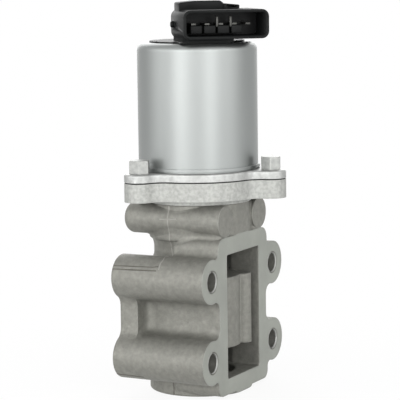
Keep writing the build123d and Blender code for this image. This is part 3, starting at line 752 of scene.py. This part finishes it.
# Chamfer rims of the bolt holes, in brighter metal that is partly a painted highlight
def hole_rim(x, z, face, inwards):
    """Thin three-sided ring just inside a bolt hole's mouth."""
    radii = (hole_radius - rim_sink, hole_radius - rim_inset, hole_radius - rim_sink)
    turns = [2 * math.pi * step / rim_steps for step in range(rim_steps)]
    mesh = bmesh.new()
    rings = []
    for radius, depth in zip(radii, rim_depths):
        y = face + inwards * depth
        places = [(x + radius * math.cos(turn), y, z + radius * math.sin(turn)) for turn in turns]
        rings.append([mesh.verts.new(place) for place in places])
    for near, far in zip(rings, rings[1:] + rings[:1]):
        for i in range(rim_steps):
            mesh.faces.new((near[i - 1], near[i], far[i], far[i - 1]))
    bmesh.ops.recalc_face_normals(mesh, faces=mesh.faces)
    return mesh


def add_hole_rims():
    """Bright rims in the mouths of the bolt holes, front and rear, their brightness partly a painted
    highlight.
    """
    places = [(x * hole_x, z * hole_z) for z in (-1, 1) for x in (-1, 1)]
    for end, mount, inwards in (("front", "front_face", 1), ("rear", "rear_face", -1)):
        face = mounts[mount]["pos_m"][1]
        for index, (x, z) in enumerate(places):
            title = f"hole_rim_{end}_{index + 1}"
            # Brighter flange metal on the rims: machined chamfer colour and partly a painted highlight
            add_piece(title, finished(title, hole_rim(x, z, face, inwards)), "cast_flange")


add_hole_rims()


# Floor, light and camera
def add_background_factor(tree):
    """One for the rays that show the background: from the camera, in reflections and through glass."""
    path = tree.nodes.new("ShaderNodeLightPath")
    total = path.outputs["Is Camera Ray"]
    for ray in ("Is Glossy Ray", "Is Transmission Ray"):
        total = add_math(tree, "MAXIMUM", total, path.outputs[ray])
    return total


def add_floor():
    """Pale floor that the valve stands on, white to the camera except for a faint shadow."""
    side = 3.0
    near_share = 0.90
    shadow_start = 0.06
    shadow_end = 0.20
    mesh = bpy.data.meshes.new("floor")
    z = cad_low.z
    corners = [(-side, -side, z), (side, -side, z), (side, side, z), (-side, side, z)]
    mesh.from_pydata(corners, [], [(0, 1, 2, 3)])
    floor = add_object("floor", mesh)
    material, tree, shader = new_tree("floor")
    shader.inputs["Base Color"].default_value = (0.9, 0.9, 0.9, 1)
    shader.inputs["Roughness"].default_value = 0.8
    glow = tree.nodes.new("ShaderNodeEmission")
    place = tree.nodes.new("ShaderNodeTexCoord")
    reach = tree.nodes.new("ShaderNodeVectorMath")
    reach.operation = "LENGTH"
    tree.links.new(place.outputs["Object"], reach.inputs[0])
    white = add_range(tree, reach.outputs["Value"], near_share, 1.0, shadow_start, shadow_end)
    mix = tree.nodes.new("ShaderNodeMixShader")
    tree.links.new(add_math(tree, "MULTIPLY", white, add_background_factor(tree)), mix.inputs["Fac"])
    tree.links.new(shader.outputs["BSDF"], mix.inputs[1])
    tree.links.new(glow.outputs["Emission"], mix.inputs[2])
    tree.links.new(mix.outputs["Shader"], tree.nodes["Material Output"].inputs["Surface"])
    mesh.materials.append(material)


def add_world():
    """White surroundings for the camera and reflections, soft fill light for the rest."""
    fill_strength = 0.42
    world = bpy.data.worlds.new("studio")
    bpy.context.scene.world = world
    world.use_nodes = True
    tree = world.node_tree
    tree.nodes.clear()
    output = tree.nodes.new("ShaderNodeOutputWorld")
    fill = tree.nodes.new("ShaderNodeBackground")
    fill.inputs["Strength"].default_value = fill_strength
    white = tree.nodes.new("ShaderNodeBackground")
    white.inputs["Strength"].default_value = 1.0
    for node in (fill, white):
        node.inputs["Color"].default_value = (1, 1, 1, 1)
    mix = tree.nodes.new("ShaderNodeMixShader")
    tree.links.new(add_background_factor(tree), mix.inputs["Fac"])
    tree.links.new(fill.outputs["Background"], mix.inputs[1])
    tree.links.new(white.outputs["Background"], mix.inputs[2])
    tree.links.new(mix.outputs["Shader"], output.inputs["Surface"])


def add_lamp(name, turn, lift, distance, width, height, power):
    """Soft rectangular lamp, placed by its turn from the camera's side, that faces the valve."""
    lamp = bpy.data.lights.new(name, "AREA")
    lamp.shape = "RECTANGLE"
    lamp.size = width
    lamp.size_y = height
    lamp.energy = power
    holder = add_object(name, lamp)
    out = direction(camera_azimuth + turn, lift)
    holder.location = camera_target + out * distance
    holder.rotation_euler = out.to_track_quat("Z", "Y").to_euler()


def add_camera():
    """Camera at the photograph's viewing angle, turned by its small roll."""
    roll = math.radians(camera_roll)
    back = direction(camera_azimuth, camera_elevation)
    level = across(camera_azimuth)
    right = math.cos(roll) * level + math.sin(roll) * back.cross(level)
    up = back.cross(right)
    turn = Matrix((right, up, back)).transposed().to_4x4()
    camera = bpy.data.cameras.new("camera")
    camera.lens = camera_lens
    camera.clip_start = 0.01
    holder = add_object("camera", camera)
    holder.matrix_world = Matrix.Translation(camera_target + back * camera_distance) @ turn
    bpy.context.scene.camera = holder


# Name, turn and lift in degrees, distance, width and height in metres, and power in watts
lamps = (
    ("left", -32, 4, 1.0, 0.42, 0.75, 6.4),
    ("right", 24, 4, 1.0, 0.36, 0.75, 5.6),
    ("front", -4, 7, 1.0, 0.30, 0.7, 1.7),
    ("left_wide", -74, 8, 1.0, 0.6, 0.8, 3.0),
    ("right_wide", 62, 8, 1.0, 0.6, 0.8, 3.0),
    ("back", 180, 25, 1.1, 1.2, 1.0, 9.0),
)
add_floor()
add_world()
for lamp in lamps:
    add_lamp(*lamp)
add_camera()
bpy.context.scene.view_settings.view_transform = "Standard"
